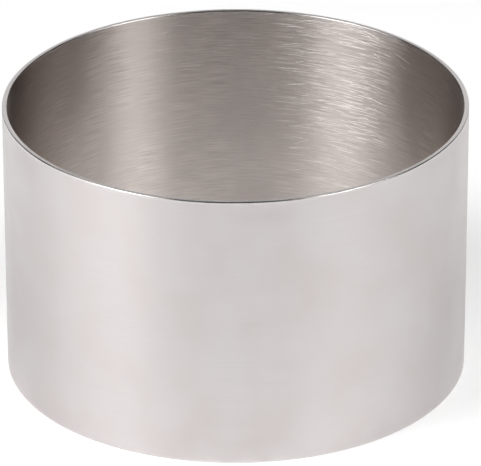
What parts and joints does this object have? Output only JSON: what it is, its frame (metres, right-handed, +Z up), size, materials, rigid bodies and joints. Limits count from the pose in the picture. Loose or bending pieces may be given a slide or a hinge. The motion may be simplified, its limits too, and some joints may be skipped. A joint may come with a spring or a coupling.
{
  "type": "ring mould",
  "caption": "Plain round stainless-steel ring mould, open at top and bottom, rolled from strip and closed by a flush welded seam, for shaping pastry and plating food.",
  "frame": {"origin": "centre of the ring on the plane of its lower rim, which stands on the worktop", "axes": "+Z up along the ring's axis, +Y to the rear, where the welded seam is, +X to the right seen from the front"},
  "size_m": [0.0888, 0.0888, 0.054],
  "materials": {
    "brushed_steel": "stainless strip, satin outside and brushed round the inside",
    "weld_steel": "stainless weld metal, dressed flush with the wall"
  },
  "bodies": {
    "root": {"rolled_band": "brushed_steel", "seam_weld": "weld_steel"}
  },
  "joints": []
}
